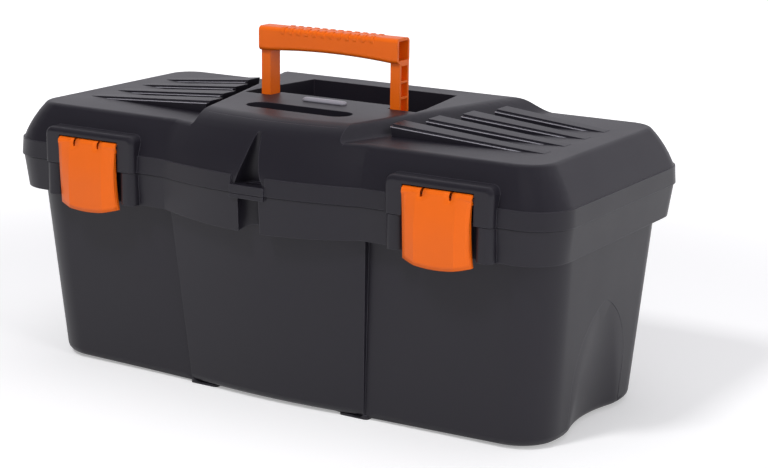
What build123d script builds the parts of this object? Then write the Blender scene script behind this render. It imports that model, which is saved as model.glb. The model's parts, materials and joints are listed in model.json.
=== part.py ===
from build123d import *
import os
from math import asin, atan, cos, degrees, tan

os.makedirs("parts", exist_ok=True)

# A moulded plastic tool box, closed and latched, with its handle standing up.
# Lengths are in millimetres. The origin is on the floor under the middle of the box,
# +X to the right, -Y to the front, +Z up.

# Plan of the box at the lip of the lid
lip_length = 500.0
lip_depth = 232.0
lip_corner = 32.0

# Heights, from the floor up
foot_height = 2.0
wall_height = 144.5
band_height = 26.2
lip_height = 13.5
bevel_height = 29.5
deck_rise = 11.3

# How far each level is drawn in from the lip, at the ends and at the front and back
band_top_inset = 1.2
band_low_end_inset = 4.8
band_low_front_inset = 2.8
wall_top_end_inset = 9.9
wall_top_front_inset = 15.7
wall_draft = 10.6
lip_draft = 0.7
bevel_step = 2.0
bevel_end_run = 18.0
bevel_front_run = 14.5
bevel_swell = 1.6

# Corner radii of those levels in plan
band_corner = 31.0
wall_corner = 34.0
bevel_corner = 30.0
plateau_corner = 22.0

# Moulded walls and gaps
wall = 2.5
floor_wall = 3.0
parting_gap = 0.5
tongue_height = 4.5
tongue_root = 6.0
tongue_wall = 1.6
tongue_gap = 0.5
overrun = 5.0
plateau_round = 6.0

# Bow in the middle of the front, on the lid, the rim band and the wall
bow_width = 181.0
bow_rise = 13.7
bow_dip = 4.0
bow_dip_start = 0.5
panel_top_width = 180.0
panel_low_width = 162.0
panel_top_step = 5.5
panel_low_step = 2.0
panel_top_bow = 7.5
panel_low_bow = 5.5

# Raised deck in the middle of the lid, wider towards the back
deck_front_y = -90.0
deck_back_y = 82.0
deck_front_width = 126.0
deck_back_width = 211.0
flank_front_run = 12.0
flank_back_run = 31.0
flank_sink = 0.6
flank_bend_share = 0.47
deck_front_round = 26.0
deck_back_round = 9.0
deck_back_step = 1.5
deck_join_share = 0.7

# Well for the folded handle, with a notch for each leg
well_front_y = -4.0
well_back_y = 65.0
well_front_width = 160.0
well_back_width = 138.0
well_depth = 27.0
notch_gap = 1.6

# Pill-shaped recess and small raised bar in front of the handle
pill_length = 94.0
pill_width = 23.0
pill_y = -60.0
pill_depth = 9.0
bar_length = 38.0
bar_width = 6.0
bar_height = 2.0
bar_y = -24.0

# Louvre fins on each side of the deck
fin_count = 4
fin_pitch = 33.3
fin_width = 10.0
fin_height = 8.6
fin_tip_x = 206.0
fin_ledge_width = 3.0
fin_ledge_drop = 1.4
fin_ledge_short = 17.0
fin_start_share = 0.9

# Carry handle
handle_length = 129.0
handle_rise = 55.0
grip_height = 19.5
grip_depth = 18.0
grip_lead = 1.8
grip_arch = 2.5
grip_round = 3.5
leg_width = 8.5
leg_depth = 13.5
handle_wall = 2.2
handle_y = -10.8
pivot_drop = 13.0
trunnion_radius = 3.5
trunnion_length = 6.0
running_gap = 0.06
side_gap = 0.6
lug_width = 6.0
lug_wall = 3.0
grip_pocket_depth = 16.0
leg_channel_depth = 5.5
leg_rib_count = 3
leg_rib = 1.8
ridge_count = 12
ridge_pitch = 7.5
ridge_width = 3.0
ridge_proud = 0.6

# Latches and the frames that guard them
latch_x = 159.0
latch_width = 57.0
latch_waist = 1.3
latch_face_width = 33.0
latch_front = 7.8
latch_flare = 1.6
latch_top_fall = 0.5
latch_low_fall = 5.0
latch_wall = 2.6
latch_rise = 8.8
latch_height = 57.5
latch_corner_rise = 4.0
latch_barrel_radius = 4.0
latch_bar_radius = 1.8
latch_slit = 2.0
latch_slit_depth = 6.0
latch_slit_x = 11.8
latch_snap_width = 3.0
latch_hook_height = 3.0
latch_hook_gap = 0.3
latch_gap = 1.0
latch_back_gap = 0.8
latch_top_gap = 0.9
frame_post = 15.0
frame_front = 5.6
frame_lintel = 5.5
frame_round = 6.5
frame_edge_share = 0.6

# Padlock hasp in the middle of the front: a recess in the lid, a channel in the rim band
# and a plate across each, with a slot for the shackle
hasp_plate_width = 31.0
hasp_plate_proud = 1.0
lid_plate_height = 6.5
tub_plate_height = 3.0
hasp_gap = 1.0
recess_radius = 12.5
recess_depth = 18.4
recess_height = 39.0
recess_tip_share = 0.12
channel_radius = 10.0
channel_depth = 15.2
shackle_length = 14.0
shackle_width = 7.0
shackle_depth = 10.2

# Scoop at the foot of each end wall
scoop_height = 97.0
scoop_width = 88.0
scoop_depth = 7.5
scoop_spring_share = 0.42
scoop_shoulder_share = 0.82
scoop_crown_share = 0.45

# Feet
foot_length = 26.0
foot_depth = 14.0
foot_corner = 3.0
foot_x = 71.0
foot_edge = 1.0
end_foot_inset = 42.0

# Back hinges
hinge_x = 140.0
hinge_reach = 8.0
hinge_rise = 1.0
knuckle_radius = 6.0
knuckle_length = 14.0
lid_knuckle_length = 26.0
knuckle_gap = 0.4
hinge_pin_radius = 2.5

# Lift-out tray
tray_gap = 1.2
tray_seat_gap = 0.3
tray_depth = 42.0
tray_draft = 4.0
tray_wall = 2.0
tray_rim_height = 6.0
tray_spine = 5.0
tray_grip_width = 12.0
tray_grip_height = 8.0
tray_grip_length = 150.0
tray_grip_rise = 17.0
tray_slot_length = 105.0
tray_slot_height = 22.0
tray_divider_shares = (-0.5, 0.0, 0.5)

# Levels and places worked out from the sizes above
half_length = lip_length / 2
half_depth = lip_depth / 2
tub_bottom = foot_height
band_bottom = tub_bottom + wall_height
parting = band_bottom + band_height
lip_top = parting + lip_height
plateau = lip_top + bevel_height
deck = plateau + deck_rise
ledge = band_bottom + floor_wall
tub_rim = parting - parting_gap
bow_radius = ((bow_width / 2) ** 2 + bow_rise**2) / (2 * bow_rise)
bow_axis_y = bow_radius - half_depth - bow_rise
bow_front = half_depth + bow_rise
pivot_z = deck - pivot_drop
well_floor = deck - well_depth
handle_half = handle_length / 2
handle_top = deck + handle_rise
grip_low = handle_top - grip_height
latch_top = lip_top + latch_rise
latch_low = latch_top - latch_height
latch_bar_y = -half_depth - latch_front + latch_barrel_radius
latch_bar_z = latch_top - latch_barrel_radius
frame_half = latch_width / 2 + latch_gap + frame_post
frame_y = -half_depth - frame_front
hinge_y = half_depth + hinge_reach
hinge_z = parting + hinge_rise


def save(shape, node):
    """Write one node's solid to its STEP file."""
    export_step(shape, f"parts/{node}.step")


def mirrored(shape):
    """The shape together with its mirror image across the middle of the box."""
    return shape + mirror(shape, about=Plane.YZ)


def plan(end_inset, front_inset, corner, z):
    """Rounded rectangle of the box at height z, drawn in from the lip."""
    outline = RectangleRounded(lip_length - 2 * end_inset, lip_depth - 2 * front_inset, corner)
    return Pos(0, 0, z) * outline


def rim_plan(end_inset, front_inset, corner, z):
    """The plan at height z with the bow in the middle of its front."""
    disc = Pos(0, bow_axis_y) * Circle(bow_radius - front_inset)
    window = Pos(0, -half_depth) * Rectangle(bow_width + 2 * bow_rise, lip_depth)
    flat = RectangleRounded(lip_length - 2 * end_inset, lip_depth - 2 * front_inset, corner)
    return Pos(0, 0, z) * (flat + (disc & window))


def block(*sections):
    """Straight-sided solid through plan sections."""
    return loft(list(sections), ruled=True)


def along_x(face, x_low, x_high):
    """Face drawn in Y and Z, carried along X."""
    return extrude(Plane((x_low, 0, 0), x_dir=(0, 1, 0), z_dir=(1, 0, 0)) * face, amount=x_high - x_low)


def along_y(face, y_front, y_back):
    """Face drawn in X and Z, carried from front to back."""
    return extrude(Plane((0, y_front, 0), x_dir=(1, 0, 0), z_dir=(0, -1, 0)) * face, amount=y_front - y_back)


def outline(*points):
    """Closed face through corner points."""
    return make_face(Polyline(*points, close=True))


def rod(x_low, x_high, y, z, radius):
    """Round bar along X."""
    return along_x(Pos(y, z) * Circle(radius), x_low, x_high)


# Padlock hasp


def hasp_plate(depth, z_low, z_high):
    """Plate across the hasp, a little proud of the bow and as deep as what lies behind it."""
    front = -bow_front - hasp_plate_proud
    back = depth - bow_front
    face = Pos(0, (front + back) / 2, z_low) * Rectangle(hasp_plate_width, back - front)
    return extrude(face, amount=z_high - z_low)


def hasp_recess(grow):
    """Recess above the lid's plate: a cone that leans until its back is upright, grown by a wall.

    The cone starts below the plate, which fills its lower end again.
    """
    lean = atan(recess_radius * (1 - recess_tip_share) / recess_height)
    apex = parting + lid_plate_height + recess_height / (1 - recess_tip_share)
    reach = (apex - parting) * cos(lean) / cos(2 * lean)
    top = recess_radius * recess_tip_share / tan(lean) - grow
    spread = grow / cos(lean)
    foot = (Align.CENTER, Align.CENTER, Align.MIN)
    cone = Cone(reach * tan(lean) + spread, top * tan(lean) + spread, reach - top, align=foot)
    upright = Pos(0, recess_depth - bow_front, apex) * Rot(-degrees(lean), 0, 0)
    return upright * Pos(0, 0, -reach) * cone


def hasp_notch():
    """Notch in the lip above the lid's plate, back to the foot of the bevel."""
    low = parting + lid_plate_height
    face = Pos(0, -bow_front) * Rectangle(hasp_plate_width, 2 * (hasp_plate_proud + recess_depth))
    face -= Pos(0, bow_axis_y) * Circle(bow_radius - bevel_step)
    return extrude(Pos(0, 0, low) * face, amount=lip_top - low + overrun)


def hasp_channel(grow, z_low, z_high):
    """Upright channel in the rim band under the plates, grown by a wall."""
    radius = channel_radius + grow
    y = channel_depth - bow_front + grow - radius
    return extrude(Pos(0, y, z_low) * Circle(radius), amount=z_high - z_low)


def shackle_slot():
    """Slot through both plates for the padlock's shackle."""
    low = tub_rim - tub_plate_height - overrun
    high = parting + lid_plate_height + overrun
    slot = Pos(0, shackle_depth - bow_front, low) * SlotOverall(shackle_length, shackle_width)
    return extrude(slot, amount=high - low)


# Tub


def wall_inset(top_inset, z):
    """Inset of the tapered tub wall at height z."""
    return top_inset + wall_draft * (band_bottom - z) / wall_height


def tub_wall(inset, z_low, z_high):
    """Tapered wall of the tub, drawn in by inset."""
    sections = []
    for z in (z_low, z_high):
        end_inset = wall_inset(wall_top_end_inset, z) + inset
        front_inset = wall_inset(wall_top_front_inset, z) + inset
        sections.append(plan(end_inset, front_inset, wall_corner - inset, z))
    return block(*sections)


def band_insets(z):
    """Insets of the rim band at height z, at the ends and at the front."""
    drop = (parting - z) / band_height
    end_inset = band_top_inset + (band_low_end_inset - band_top_inset) * drop
    front_inset = band_top_inset + (band_low_front_inset - band_top_inset) * drop
    return end_inset, front_inset


def band_block(inset, z_low, z_high):
    """Rim band of the tub, drawn in by inset."""
    sections = []
    for z in (z_low, z_high):
        end_inset, front_inset = band_insets(z)
        sections.append(rim_plan(end_inset + inset, front_inset + inset, band_corner - inset, z))
    return block(*sections)


def bow_skirt(inset):
    """Part of the rim band's bow that hangs below the band, cut to a slanting lower edge."""
    skirt = band_block(inset, band_bottom - bow_dip, band_bottom + overrun)
    front = half_depth - band_low_front_inset + bow_dip_start
    keep = outline(
        (-front, band_bottom + overrun),
        (-front, band_bottom + inset),
        (-front - bow_rise, band_bottom + inset - bow_dip),
        (-front - 2 * bow_rise, band_bottom + inset - bow_dip),
        (-front - 2 * bow_rise, band_bottom + overrun),
    )
    return skirt & along_x(keep, -bow_width / 2, bow_width / 2)


def front_panel(inset):
    """Bowed panel on the front wall, narrower and flatter towards the floor."""
    sections = []
    levels = (
        (tub_bottom, panel_low_width, panel_low_step, panel_low_bow),
        (ledge, panel_top_width, panel_top_step, panel_top_bow),
    )
    for z, width, step, bow in levels:
        side = width / 2 - inset
        edge_y = -half_depth + wall_inset(wall_top_front_inset, z) - step + inset
        crown = ThreePointArc((-side, edge_y), (0, edge_y - bow), (side, edge_y))
        back_y = edge_y + step + 2 * wall
        sides = Polyline((side, edge_y), (side, back_y), (-side, back_y), (-side, edge_y))
        sections.append(Pos(0, 0, z) * make_face(Curve() + [crown, sides]))
    return block(*sections)


def end_scoop(inset):
    """Arched scoop at the foot of the right end wall, deepest at the floor."""
    half = scoop_width / 2 + inset
    low = tub_bottom - overrun
    spring = tub_bottom + scoop_height * scoop_spring_share
    crown = tub_bottom + scoop_height + inset
    shoulder = (half * scoop_shoulder_share, spring + (crown - spring) * scoop_crown_share)
    rising = ThreePointArc((half, spring), shoulder, (0, crown))
    falling = ThreePointArc((0, crown), (-shoulder[0], shoulder[1]), (-half, spring))
    legs = Polyline((-half, spring), (-half, low), (half, low), (half, spring))
    arch = make_face(Curve() + [rising, falling, legs])
    wall_low = half_length - wall_inset(wall_top_end_inset, tub_bottom)
    wall_high = half_length - wall_inset(wall_top_end_inset, tub_bottom + scoop_height)
    outer = half_length
    lean = (wall_high - wall_low + scoop_depth) / scoop_height
    cut = outline(
        (wall_low - scoop_depth - inset - lean * overrun, low),
        (outer, low),
        (outer, crown + overrun),
        (wall_high - inset + lean * (inset + overrun), crown + overrun),
    )
    depth = scoop_width + overrun
    return along_x(arch, wall_low - lip_depth / 2, outer) & along_y(cut, -depth, depth)


def latch_posts(z_low, z_high):
    """Rounded posts on both sides of the right latch."""
    depth = 2 * (frame_front + wall)
    posts = Sketch()
    for side in (-1, 1):
        x = latch_x + side * (frame_half - frame_post / 2)
        posts += Pos(x, frame_y + depth / 2, z_low) * RectangleRounded(frame_post, depth, frame_round)
    return extrude(posts, amount=z_high - z_low)


def knuckle(x_middle, length, inner_y, web_low, web_high):
    """One barrel of a back hinge with the web that carries it."""
    low = x_middle - length / 2
    web = outline((inner_y, web_low), (hinge_y, web_low), (hinge_y, web_high), (inner_y, web_high))
    return rod(low, low + length, hinge_y, hinge_z, knuckle_radius) + along_x(web, low, low + length)


def hinge_bore(radius):
    """Hole on the axis of the right back hinge."""
    reach = lid_knuckle_length / 2 + knuckle_gap + knuckle_length + overrun
    return rod(hinge_x - reach, hinge_x + reach, hinge_y, hinge_z, radius)


def foot_pads():
    """Feet under the right half of the tub."""
    pad = extrude(RectangleRounded(foot_length, foot_depth, foot_corner), amount=foot_height + floor_wall / 2)
    edge = half_depth - wall_inset(wall_top_front_inset, tub_bottom) + panel_low_step
    panel_y = edge - foot_depth / 2 - foot_edge
    end_x = half_length - wall_inset(wall_top_end_inset, tub_bottom) - end_foot_inset
    end_y = half_depth - wall_inset(wall_top_front_inset, tub_bottom) - foot_length
    pads = Pos(foot_x, -panel_y) * pad + Pos(foot_x, panel_y - panel_low_step) * pad
    return pads + Pos(end_x, -end_y) * pad + Pos(end_x, end_y) * pad


def tub_shell():
    """Walls of the tub with the rim band, ledge, latch posts and hasp."""
    outer = tub_wall(0, tub_bottom, ledge) + front_panel(0)
    outer -= mirrored(end_scoop(0))
    outer += band_block(0, band_bottom, tub_rim) + bow_skirt(0)
    outer += mirrored(latch_posts(band_bottom, tub_rim))
    inner = tub_wall(wall, tub_bottom + floor_wall, ledge + overrun) + front_panel(wall)
    inner -= mirrored(end_scoop(wall))
    inner -= Pos(0, 0, tub_bottom) * Box(lip_length, lip_depth, 2 * floor_wall)
    inner += band_block(wall, ledge, tub_rim + overrun) + bow_skirt(wall)
    tub = outer - inner
    channel_low = band_bottom - bow_dip
    plate_low = tub_rim - tub_plate_height
    tub += hasp_channel(wall, channel_low, tub_rim) & outer
    tub += hasp_plate(channel_depth + wall, plate_low, tub_rim)
    tub -= hasp_channel(0, channel_low - overrun, plate_low)
    tub -= shackle_slot()
    return tub


def rim_tongue():
    """Tongue round the tub's rim that the lid closes over, open behind the hasp."""
    tongue_inset = wall + tongue_gap
    root = tub_rim - tongue_root
    crest = tub_rim + tongue_height
    bore_inset = tongue_inset + tongue_wall
    outside, inside = (
        block(*(rim_plan(inset, inset, lip_corner - inset, z) for z in (root, crest)))
        for inset in (tongue_inset, bore_inset)
    )
    opening = Pos(0, -half_depth) * Box(hasp_plate_width + 2 * (wall + hasp_gap), lip_depth, 2 * crest)
    return outside - inside - opening


def make_tub():
    """Tub with its rim band, tongue, feet and hinge knuckles."""
    tub = tub_shell() + rim_tongue()
    offset = (lid_knuckle_length + knuckle_length) / 2 + knuckle_gap
    inner_y = half_depth - band_top_inset - wall / 2
    for side in (-1, 1):
        x = hinge_x + side * offset
        tub += mirrored(knuckle(x, knuckle_length, inner_y, hinge_z - knuckle_radius, tub_rim))
    tub -= mirrored(hinge_bore(hinge_pin_radius + running_gap))
    return tub + mirrored(foot_pads())


def make_hinge_pin(x):
    """Steel pin of one back hinge."""
    half = lid_knuckle_length / 2 + knuckle_gap + knuckle_length
    return rod(x - half, x + half, hinge_y, hinge_z, hinge_pin_radius)


# Lid


def bevel_levels(inset):
    """Three levels of the swelling bevel: inset at the ends, inset at the front, height."""
    foot = bevel_step + inset
    low = lip_top - inset
    middle_end = foot + bevel_end_run / 2 - bevel_swell
    middle_front = foot + bevel_front_run / 2 - bevel_swell
    return (
        (foot, foot, low),
        (middle_end, middle_front, low + bevel_height / 2),
        (foot + bevel_end_run, foot + bevel_front_run, low + bevel_height),
    )


def lid_body(inset):
    """Bevel and plateau of the lid, without its lip, bow and deck, straight-sided in the hollow."""
    corners = (bevel_corner, (bevel_corner + plateau_corner) / 2, plateau_corner)
    sections = []
    for (end_inset, front_inset, z), corner in zip(bevel_levels(inset), corners):
        sections.append(plan(end_inset, front_inset, corner - inset, z))
    return loft(sections, ruled=inset > 0)


def bevel_face(reach, depth, inset, rise, radius):
    """Section of the bevel, carried on by rise above the plateau, with a rounded top edge.

    The first coordinate is measured outwards. The lip stands at reach, and the section goes in by depth.
    """
    foot, middle, top = ((reach - front_inset, z) for _, front_inset, z in bevel_levels(inset))
    swell = ThreePointArc(foot, middle, top)
    slope = swell % 1
    brow = (top[0] + slope.X / slope.Y * rise, top[1] + rise)
    root = reach - depth
    corners = [brow, (root, brow[1]), (root, foot[1]), foot]
    if rise:
        corners.insert(0, top)
    face = make_face(Curve() + [swell, Polyline(*corners)])
    if radius:
        face = fillet(face.vertices().group_by(Axis.Y)[-1].sort_by(Axis.X)[-1], radius)
    return face


def bow_turn(face):
    """Section turned about the upright axis of the bow, across the bow's width."""
    axis = Axis((0, bow_axis_y, 0), (0, 0, 1))
    half_angle = degrees(asin((bow_width / 2 + bow_rise) / bow_radius))
    section = Plane((0, bow_axis_y, 0), x_dir=(0, -1, 0), z_dir=(-1, 0, 0)) * face
    return revolve(section, axis, revolution_arc=2 * half_angle).rotate(axis, -half_angle)


def deck_half(y):
    """Half of the deck's width at y."""
    share = (y - deck_front_y) / (deck_back_y - deck_front_y)
    return (deck_front_width + (deck_back_width - deck_front_width) * share) / 2


def flank_run(y):
    """How far the deck's flank runs out at y."""
    share = (y - deck_front_y) / (deck_back_y - deck_front_y)
    return flank_front_run + (flank_back_run - flank_front_run) * share


def deck_wedge(inset):
    """Tunnel with the deck's width and S-shaped flanks, straight in the hollow, from front to back."""
    sections = []
    for y in (-half_depth - bow_rise, half_depth):
        brow = deck_half(y) - inset
        run = flank_run(y)
        foot = brow + run
        high = deck - inset
        low = plateau - inset - flank_sink
        bend = run * flank_bend_share
        right = Bezier((brow, high), (brow + bend, high), (foot - bend, low), (foot, low))
        left = Bezier((-foot, low), (bend - foot, low), (-brow - bend, high), (-brow, high))
        if inset:
            right = Line((brow, high), (foot, low))
            left = Line((-foot, low), (-brow, high))
        base = lip_top - wall
        rest = Polyline((foot, low), (foot, base), (-foot, base), (-foot, low))
        face = make_face(Curve() + [right, rest, left, Line((-brow, high), (brow, high))])
        sections.append(Plane((0, y, 0), x_dir=(1, 0, 0), z_dir=(0, -1, 0)) * face)
    return block(*sections)


def lid_form(inset, low, draft, plateau_edge, front_edge, back_edge):
    """Outside of the lid, or its hollow when drawn in by inset, with the lip's draft and edge radii."""
    lip = block(
        rim_plan(inset, inset, lip_corner - inset, low),
        rim_plan(inset + draft, inset + draft, lip_corner - inset, lip_top - inset),
    )
    body = lid_body(inset)
    if plateau_edge:
        body = fillet(body.faces().sort_by(Axis.Z)[-1].edges(), plateau_edge)
    bow = bow_turn(bevel_face(bow_radius, half_depth, inset, 0, plateau_edge))
    front_depth = bow_front + deck_front_y * deck_join_share
    back_depth = half_depth - deck_front_y * (1 + deck_join_share) / 2
    front = bow_turn(bevel_face(bow_radius, front_depth, inset, deck_rise, front_edge))
    back_face = bevel_face(half_depth - deck_back_step, back_depth, inset, deck_rise, back_edge)
    back = along_x(back_face, -half_length, half_length)
    wedge = deck_wedge(inset)
    return lip + body + bow + (front & wedge) + (back & wedge)


def latch_frame():
    """Raised frame round the right latch on the lid, before its pocket is cut."""
    high = latch_top + latch_top_gap + frame_lintel
    depth = frame_front + bevel_step + bevel_front_run
    sketch = Pos(latch_x, (parting + high) / 2) * Rectangle(2 * frame_half, high - parting)
    sketch = fillet(sketch.vertices().group_by(Axis.Y)[-1], frame_round)
    frame = along_y(sketch, frame_y, frame_y + depth)
    face = frame.faces().sort_by(Axis.Y)[0]
    rims = [edge for edge in face.edges() if edge.center().Z > parting + frame_round / 2]
    return fillet(rims, frame_round * frame_edge_share)


def latch_pocket():
    """Room for the right latch in its frame."""
    width = latch_width + 2 * latch_gap
    floor_y = latch_bar_y + latch_barrel_radius + latch_back_gap
    high = latch_top + latch_top_gap
    sketch = Pos(latch_x, (parting - overrun + high) / 2) * Rectangle(width, high - parting + overrun)
    return along_y(sketch, frame_y - overrun, floor_y)


def fins():
    """Louvre fins on the right side of the deck."""
    shapes = Part()
    for index in range(fin_count):
        y = (index - (fin_count - 1) / 2) * fin_pitch
        start = deck_half(y) + flank_run(y) * fin_start_share
        low = plateau - wall / 2
        top = outline((start, low), (start, plateau + fin_height), (fin_tip_x, plateau), (fin_tip_x, low))
        shapes += along_y(top, y - fin_width / 2, y + fin_width / 2)
        drop = plateau + fin_height - fin_ledge_drop
        tip = fin_tip_x - fin_ledge_short
        ledge_face = outline((start, low), (start, drop), (tip, plateau), (tip, low))
        shapes += along_y(ledge_face, y - fin_width / 2 - fin_ledge_width, y)
    return shapes


def well_plan(grow):
    """Outline of the handle well in plan, with the notches for the legs."""
    main = outline(
        (-well_front_width / 2 - grow, well_front_y - grow),
        (well_front_width / 2 + grow, well_front_y - grow),
        (well_back_width / 2 + grow, well_back_y + grow),
        (-well_back_width / 2 - grow, well_back_y + grow),
    )
    inner_x = handle_half - leg_width - notch_gap - grow
    outer_x = well_front_width / 2 + grow
    front_y = handle_y - leg_depth / 2 - notch_gap - grow
    notch = Rectangle(outer_x - inner_x, well_front_y + notch_gap - front_y)
    notch = Pos((inner_x + outer_x) / 2, (front_y + well_front_y + notch_gap) / 2) * notch
    return main + notch + mirror(notch, about=Plane.YZ)


def handle_lug():
    """Lug in the well that carries the handle's right trunnion."""
    low_x = handle_half + side_gap
    radius = trunnion_radius + lug_wall
    lug = rod(low_x, low_x + lug_width, handle_y, pivot_z, radius)
    stem_low = well_floor - wall / 2
    stem = Pos(handle_y, (stem_low + pivot_z) / 2) * Rectangle(2 * radius, pivot_z - stem_low)
    lug += along_x(stem, low_x, low_x + lug_width)
    bore = trunnion_radius + running_gap
    return lug - rod(low_x - overrun, low_x + lug_width + overrun, handle_y, pivot_z, bore)


def make_lid():
    """Lid shell with everything moulded on it."""
    outer = lid_form(0, parting, lip_draft, plateau_round, deck_front_round, deck_back_round)
    outer += mirrored(latch_frame())
    outer += mirrored(fins())
    lid = outer - lid_form(wall, parting - overrun, 0, 0, 0, 0)
    lid -= mirrored(latch_pocket())
    backing = hasp_plate(bevel_step + 2 * wall, parting, lip_top)
    lid += (hasp_recess(wall) + backing) & outer
    lid -= hasp_recess(0) + hasp_notch()
    lid += hasp_plate(recess_depth + wall, parting, parting + lid_plate_height)
    lid -= shackle_slot()
    top = deck - wall / 2
    lid += extrude(Pos(0, 0, well_floor - wall) * well_plan(wall), amount=top - well_floor + wall)
    lid -= extrude(Pos(0, 0, well_floor) * well_plan(0), amount=well_depth + overrun)
    pill = SlotOverall(pill_length, pill_width)
    pill_wall = SlotOverall(pill_length + 2 * wall, pill_width + 2 * wall)
    pill_floor = deck - pill_depth
    lid += extrude(Pos(0, pill_y, pill_floor - wall) * pill_wall, amount=top - pill_floor + wall)
    lid -= extrude(Pos(0, pill_y, pill_floor) * pill, amount=pill_depth + overrun)
    lid += extrude(Pos(0, bar_y, top) * SlotOverall(bar_length, bar_width), amount=bar_height + deck - top)
    lid += mirrored(handle_lug())
    reach = latch_width / 2 + latch_gap + frame_post / 2
    inner_y = half_depth - lip_draft - wall / 2
    web_high = hinge_z + knuckle_radius
    lid += mirrored(knuckle(hinge_x, lid_knuckle_length, inner_y, parting, web_high))
    lid -= mirrored(hinge_bore(hinge_pin_radius + running_gap))
    lid += mirrored(rod(latch_x - reach, latch_x + reach, latch_bar_y, latch_bar_z, latch_bar_radius))
    return lid


# Carry handle


def leg_channel():
    """Open channel in the right leg and the pocket in the end of the grip."""
    inner_depth = leg_depth - 2 * handle_wall
    low = pivot_z + leg_depth / 2 + handle_wall
    high = grip_low - handle_wall
    start = handle_half - leg_channel_depth
    channel = Pos(handle_y, (low + high) / 2) * Rectangle(inner_depth, high - low)
    for index in range(1, leg_rib_count):
        z = low + (high - low) * index / leg_rib_count
        channel -= Pos(handle_y, z) * Rectangle(inner_depth, leg_rib)
    pocket_y = handle_y - grip_lead
    pocket = Rectangle(grip_depth - 2 * handle_wall, grip_height - 2 * handle_wall)
    pocket = Pos(pocket_y, grip_low + grip_height / 2) * pocket
    cut = along_x(channel, start, handle_half + overrun)
    return cut + along_x(pocket, handle_half - grip_pocket_depth, handle_half + overrun)


def grip_ridges():
    """Low ridges round the top front and top back edges of the grip."""
    ridges = []
    low = -ridge_width / 2
    reach = grip_depth / 2 - grip_round
    for y in (handle_y - grip_lead - reach, handle_y - grip_lead + reach):
        for index in range(ridge_count):
            x = (index - (ridge_count - 1) / 2) * ridge_pitch
            ridges.append(rod(x + low, x - low, y, handle_top - grip_round, grip_round + ridge_proud))
    return ridges


def make_handle():
    """Carry handle standing up, with trunnions on its legs."""
    middle_y = handle_y - grip_lead
    inner = handle_half - leg_width
    arch = ThreePointArc((-inner, grip_low), (0, grip_low + grip_arch), (inner, grip_low))
    over = Polyline(
        (inner, grip_low),
        (handle_half, grip_low),
        (handle_half, handle_top),
        (-handle_half, handle_top),
        (-handle_half, grip_low),
        (-inner, grip_low),
    )
    grip = along_y(make_face(Curve() + [arch, over]), middle_y - grip_depth / 2, middle_y + grip_depth / 2)
    grip = fillet(grip.edges().filter_by(Axis.X), grip_round)
    leg_face = Pos(handle_half - leg_width / 2, (pivot_z + grip_low + grip_round) / 2) * Rectangle(
        leg_width, grip_low + grip_round - pivot_z
    )
    leg = along_y(leg_face, handle_y - leg_depth / 2, handle_y + leg_depth / 2)
    leg += rod(inner, handle_half, handle_y, pivot_z, leg_depth / 2)
    handle = grip + mirrored(leg) + grip_ridges()
    handle -= mirrored(leg_channel())
    trunnion_end = handle_half + trunnion_length
    trunnion = rod(handle_half - leg_width / 2, trunnion_end, handle_y, pivot_z, trunnion_radius)
    return handle + mirrored(trunnion)


# Latches


def latch_section(z, front, fall):
    """Plan of the latch plate at height z, with a flat face and falling sides."""
    half = latch_width / 2
    face = latch_face_width / 2
    line = ((-half, front + fall), (-face, front), (face, front), (half, front + fall))
    back = tuple((x, y + latch_wall) for x, y in reversed(line))
    return Pos(latch_x, 0, z) * outline(*line, *back)


def make_latch():
    """Right latch, hanging closed on the bar of its frame."""
    front = -half_depth - latch_front
    half = latch_width / 2
    plate = block(
        latch_section(latch_low, front - latch_flare, latch_low_fall),
        latch_section(latch_bar_z, front, latch_top_fall),
    )
    middle = (latch_low + latch_top) / 2
    corner = latch_low + latch_corner_rise
    left = ThreePointArc((-half, corner), (-half + latch_waist, middle), (-half, latch_top))
    right = ThreePointArc((half, latch_top), (half - latch_waist, middle), (half, corner))
    low = ThreePointArc((half, corner), (0, latch_low), (-half, corner))
    top = Line((-half, latch_top), (half, latch_top))
    trim = Pos(latch_x, 0) * make_face(Curve() + [left, top, right, low])
    plate &= along_y(trim, front - latch_flare - overrun, -half_depth + overrun)
    barrel = rod(latch_x - half, latch_x + half, latch_bar_y, latch_bar_z, latch_barrel_radius)
    _, band_front = band_insets(band_bottom)
    hook_tip = -half_depth + band_front - latch_hook_gap
    hook_high = band_bottom - latch_hook_gap
    hook_face = Rectangle(latch_face_width, latch_hook_height)
    hook_face = Pos(latch_x, hook_high - latch_hook_height / 2) * hook_face
    hook = along_y(hook_face, front - latch_flare + latch_wall / 2, hook_tip)
    latch = plate + barrel + hook
    bore = latch_bar_radius + running_gap
    latch -= rod(latch_x - half - overrun, latch_x + half + overrun, latch_bar_y, latch_bar_z, bore)
    snap = Pos(latch_x, latch_bar_z) * Rectangle(latch_width + overrun, latch_snap_width)
    latch -= along_y(snap, latch_bar_y, latch_bar_y + 2 * latch_barrel_radius)
    slit = Rectangle(latch_slit, 2 * latch_slit_depth)
    for side in (-1, 1):
        cut = Pos(latch_x + side * latch_slit_x, latch_top) * slit
        latch -= along_y(cut, front - overrun, latch_bar_y + 2 * latch_barrel_radius)
    return latch


# Lift-out tray


def tray_box(inset, z_low, z_high):
    """Tapered trough of the tray, drawn in by inset."""
    sections = []
    for z in (z_low, z_high):
        draw_in = tray_gap + wall + inset + tray_draft * (ledge - z) / tray_depth
        corner = wall_corner - tray_gap - wall - inset
        sections.append(plan(wall_top_end_inset + draw_in, wall_top_front_inset + draw_in, corner, z))
    return block(*sections)


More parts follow.
